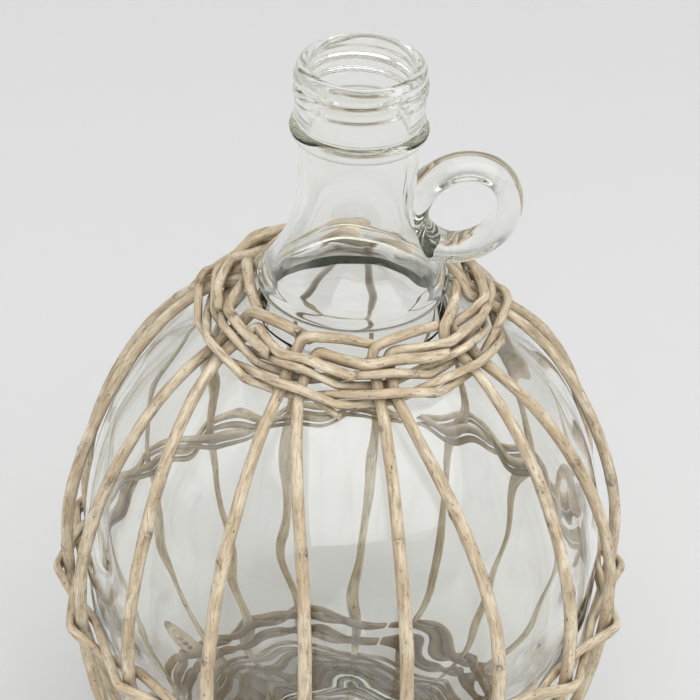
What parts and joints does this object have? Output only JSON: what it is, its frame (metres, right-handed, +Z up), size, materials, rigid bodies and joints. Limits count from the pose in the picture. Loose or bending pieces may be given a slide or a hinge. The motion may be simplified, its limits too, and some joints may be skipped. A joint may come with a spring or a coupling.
{
  "type": "glass demijohn in an open willow cage",
  "caption": "Round clear glass demijohn with a screw-thread mouth, a beaded flared neck and a finger ring, held in an open cage of willow stakes with twined rows.",
  "frame": {"origin": "middle of the basket floor's underside, on the bottle's axis", "axes": "+Z up along the bottle's axis, +X towards the finger ring, -Y towards the side that the picture shows"},
  "size_m": [0.1772, 0.1766, 0.2674],
  "materials": {
    "clear_glass": "gloss",
    "willow_stake": "matte",
    "willow_weaver": "matte",
    "willow_floor": "matte"
  },
  "bodies": {
    "root": {"glass_bottle": "clear_glass", "stake_01": "willow_stake", "stake_02": "willow_stake", "stake_03": "willow_stake", "stake_04": "willow_stake", "stake_05": "willow_stake", "stake_06": "willow_stake", "stake_07": "willow_stake", "stake_08": "willow_stake", "stake_09": "willow_stake", "stake_10": "willow_stake", "stake_11": "willow_stake", "stake_12": "willow_stake", "stake_13": "willow_stake", "stake_14": "willow_stake", "stake_15": "willow_stake", "stake_16": "willow_stake", "stake_17": "willow_stake", "stake_18": "willow_stake", "collar_weaver_1": "willow_weaver", "collar_weaver_2": "willow_weaver", "collar_weaver_3": "willow_weaver", "collar_weaver_4": "willow_weaver", "belly_weaver_1": "willow_weaver", "belly_weaver_2": "willow_weaver", "belly_weaver_3": "willow_weaver", "belly_weaver_4": "willow_weaver", "heel_weaver_1": "willow_floor", "heel_weaver_2": "willow_floor", "heel_weaver_3": "willow_floor", "heel_weaver_4": "willow_floor", "base_sticks_lower": "willow_floor", "base_sticks_upper": "willow_floor", "base_rounds_lower": "willow_floor", "base_rounds_upper": "willow_floor", "collar_tail": "willow_weaver"}
  },
  "joints": []
}
